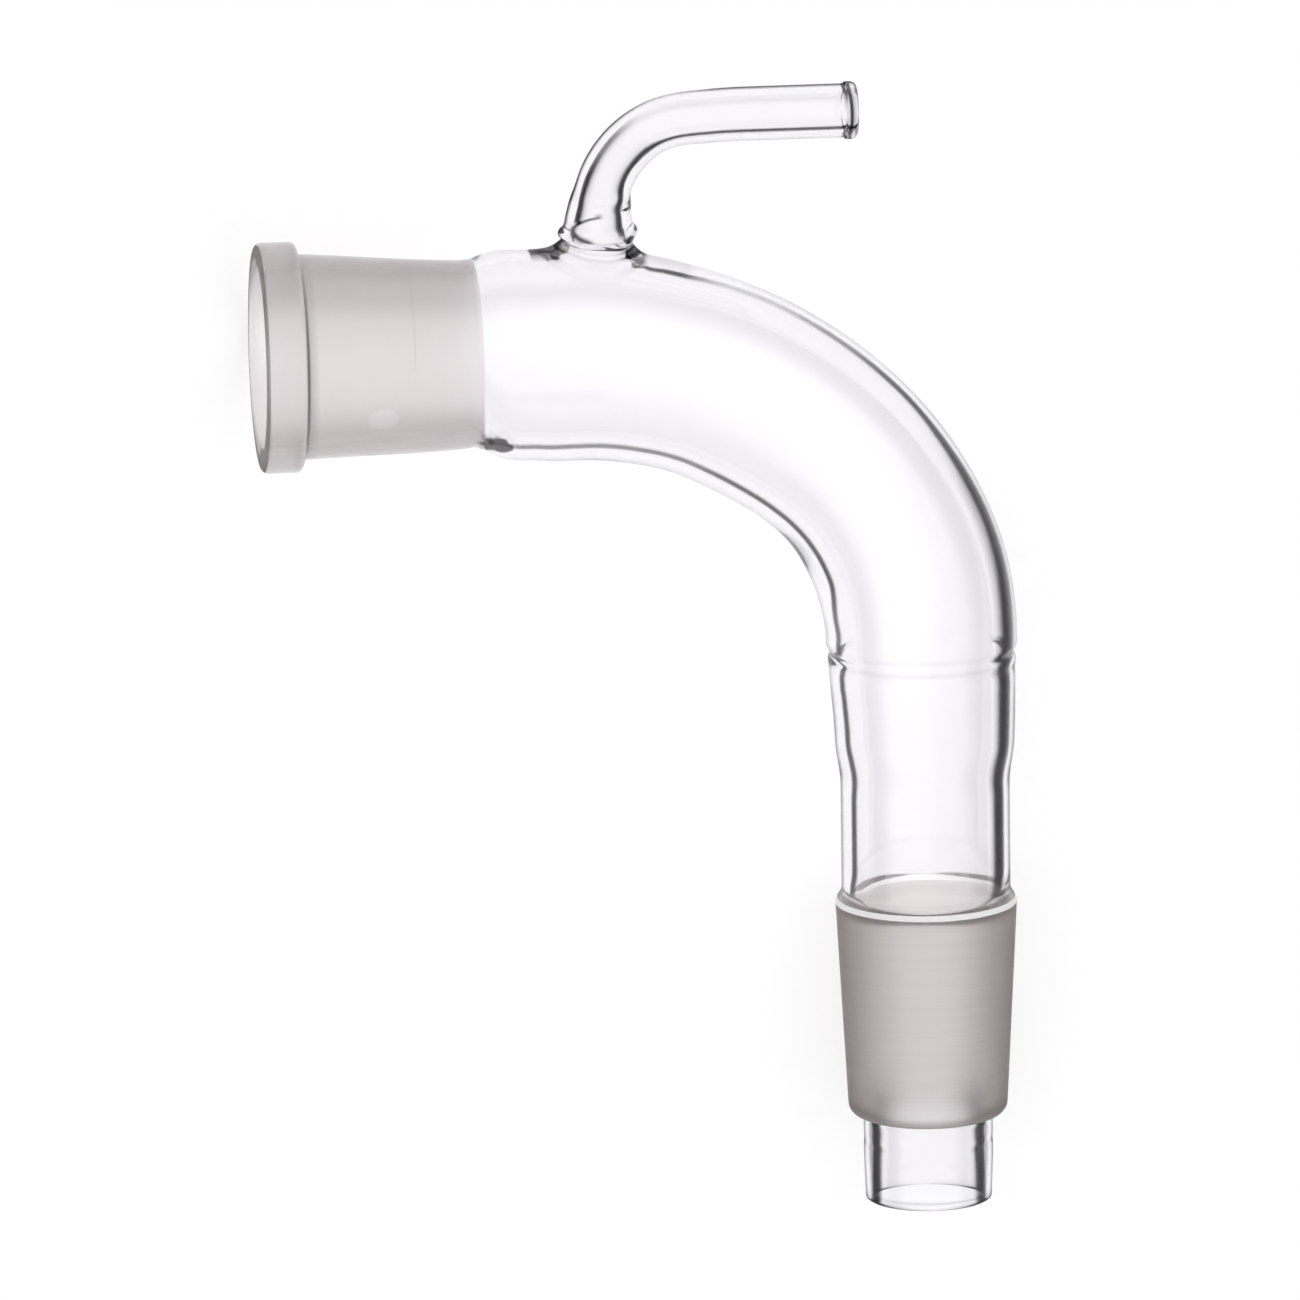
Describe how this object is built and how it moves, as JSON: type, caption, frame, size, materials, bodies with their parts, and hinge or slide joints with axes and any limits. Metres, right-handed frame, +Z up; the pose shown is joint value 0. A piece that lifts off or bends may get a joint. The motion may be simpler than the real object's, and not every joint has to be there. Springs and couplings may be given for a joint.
{
  "type": "vacuum take off adapter",
  "caption": "Bent glass adapter that joins a distillation condenser to a receiver: a ground socket, a tube bent square, a ground cone with a drip tip, and a hose arm for vacuum.",
  "frame": {"origin": "centre of the piece's plan, on the bench it lies on", "axes": "+Y runs up the leg from the drip tip towards the bend and the arm, +X from the socket's mouth towards the heel, and +Z up from the bench, square to the plane of the bend within 2 degrees"},
  "size_m": [0.1002, 0.151, 0.0303],
  "materials": {
    "glass": "clear and fire polished, with the socket and the cone ground matt"
  },
  "bodies": {
    "root": {"adapter": "glass"}
  },
  "joints": []
}
